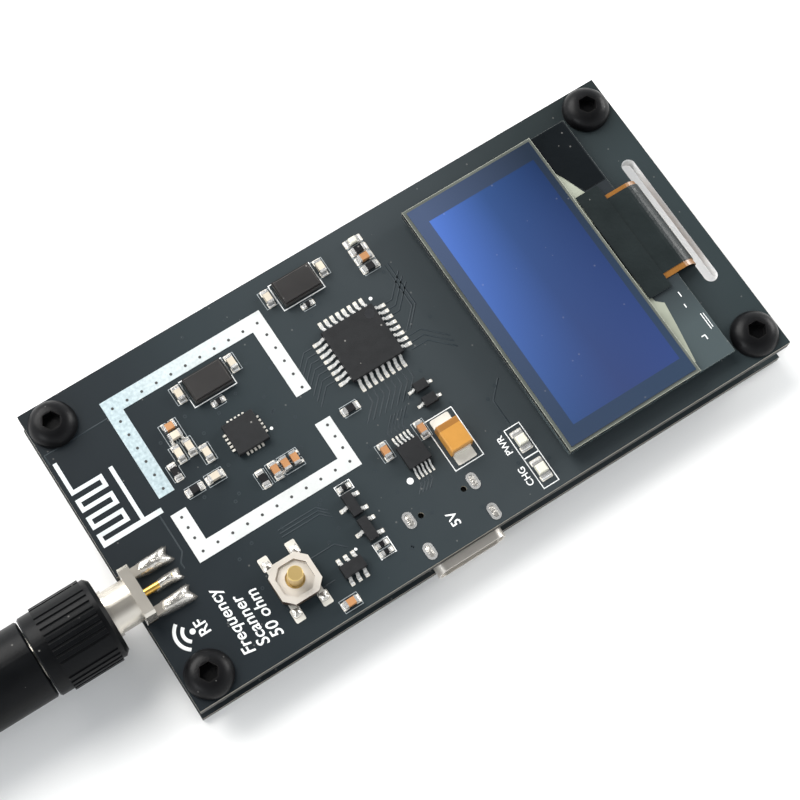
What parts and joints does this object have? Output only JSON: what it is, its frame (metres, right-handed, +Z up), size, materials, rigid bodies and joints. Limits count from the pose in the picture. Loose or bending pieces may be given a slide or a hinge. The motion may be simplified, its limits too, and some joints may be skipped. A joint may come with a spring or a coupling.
{
  "type": "spectrum analyzer",
  "caption": "Pocket radio spectrum analyzer: two stacked boards, a small display on the right, an edge coaxial connector and a screw-on folding antenna.",
  "frame": {"origin": "centre of the board outline on the underside of the back board", "axes": "+X from the antenna end to the display end, +Y towards the display's far long edge, +Z up out of the component side"},
  "size_m": [0.1909, 0.041, 0.0117],
  "materials": {
    "amber_film": "amber polyimide film with copper lines",
    "antenna_plastic": "satin black moulded plastic",
    "bare_die": "bare silicon driver",
    "black_foam": "black double-sided foam tape",
    "black_resin": "black moulding resin, fine matte texture",
    "black_steel": "black oxide steel, slightly oily satin",
    "black_tape": "black polyester tape, satin",
    "board_mask": "matte dark solder mask over glass-epoxy board",
    "board_mask_back": "matte dark solder mask over glass-epoxy board",
    "bright_nickel": "bright nickel plate over turned brass",
    "crystal_lid": "dark seam-sealed metal lid",
    "dark_ceramic": "dark brown fired ceramic package",
    "display_film": "blue-black polarising film with a soft sheen",
    "display_glass_front": "dark coated display glass",
    "display_glass_rear": "dark coated display glass",
    "end_cap": "tin-plated end cap with solder",
    "gold_pin": "gold plate over phosphor bronze",
    "grey_ceramic": "pale grey-beige ceramic",
    "led_carrier": "white laminate carrier",
    "led_lens": "clear epoxy lens",
    "masked_trace": "copper track under the solder mask, a little lighter than the board",
    "nickel_spacer": "nickel-plated turned spacer",
    "radiator_brass": "drawn brass tube and wire",
    "resistor_glaze": "black overglaze on alumina",
    "socket_plastic": "black glass-filled moulding",
    "socket_steel": "nickel-plated drawn steel shell",
    "spring_steel": "silvered spring steel dome",
    "switch_brass": "nickel-washed brass stem",
    "switch_plastic": "black heat-resistant moulding",
    "switch_steel": "bright pressed steel cover",
    "tan_ceramic": "tan ceramic",
    "tantalum_case": "yellow-brown moulded case with a darker polarity bar",
    "tin_lead": "tin-plated copper alloy",
    "tinned_copper": "bright hot-air-levelled tin over copper",
    "white_insulator": "white fluoropolymer"
  },
  "bodies": {
    "instrument": {"antenna_trace": "masked_trace", "back_board": "board_mask_back", "board_screws": "black_steel", "bridge_body": "black_resin", "bridge_leads": "tin_lead", "capacitor_ends": "end_cap", "connector_body": "bright_nickel", "connector_insulator": "white_insulator", "connector_pin": "gold_pin", "crystal_bases": "dark_ceramic", "crystal_lids": "crystal_lid", "crystal_pads": "tin_lead", "diode_bodies": "black_resin", "diode_leads": "tin_lead", "display_driver": "bare_die", "display_flex": "amber_film", "display_foam": "black_foam", "display_front_glass": "display_glass_front", "display_polariser": "display_film", "display_rear_glass": "display_glass_rear", "flex_tape": "black_tape", "led_carriers": "led_carrier", "led_ends": "end_cap", "led_lenses": "led_lens", "main_board": "board_mask", "plain_capacitors": "grey_ceramic", "processor_body": "black_resin", "processor_leads": "tin_lead", "radio_body": "black_resin", "radio_pads": "tin_lead", "regulator_body": "black_resin", "regulator_leads": "tin_lead", "resistor_ends": "end_cap", "resistors": "resistor_glaze", "shield_strips": "tinned_copper", "socket_contacts": "gold_pin", "socket_shell": "socket_steel", "socket_tongue": "socket_plastic", "spacers": "nickel_spacer", "switch_base": "switch_plastic", "switch_cover": "switch_steel", "switch_dome": "spring_steel", "switch_terminals": "tin_lead", "tan_capacitors": "tan_ceramic", "tantalum_body": "tantalum_case", "tantalum_straps": "tin_lead", "transistor_bodies": "black_resin", "transistor_leads": "tin_lead"},
    "button": {"switch_plunger": "switch_brass"},
    "collar": {"antenna_nut": "bright_nickel", "antenna_collar": "antenna_plastic"},
    "swivel": {"swivel_base": "antenna_plastic", "antenna_plug": "bright_nickel", "plug_insulator": "white_insulator", "antenna_contact": "gold_pin", "hinge_pin": "antenna_plastic"},
    "mast": {"antenna_mast": "antenna_plastic", "antenna_radiator": "radiator_brass"}
  },
  "joints": [
    {"name": "button_press", "type": "slide", "parent": "instrument", "child": "button", "axis": [0, 0, -1], "range_m": [0, 0.00025], "stiffness_N_per_m": 6000, "springref_m": -0.0001},
    {"name": "collar_turn", "type": "hinge", "parent": "instrument", "child": "collar", "pos_m": [-0.04295, -0.0055, 0.00655], "axis": [-1, 0, 0], "continuous": true},
    {"name": "antenna_swivel", "type": "hinge", "parent": "instrument", "child": "swivel", "pos_m": [-0.04295, -0.0055, 0.00655], "axis": [-1, 0, 0], "continuous": true},
    {"name": "antenna_fold", "type": "hinge", "parent": "swivel", "child": "mast", "pos_m": [-0.06995, -0.0055, 0.00655], "axis": [0, 1, 0], "range_deg": [0, 90]}
  ]
}
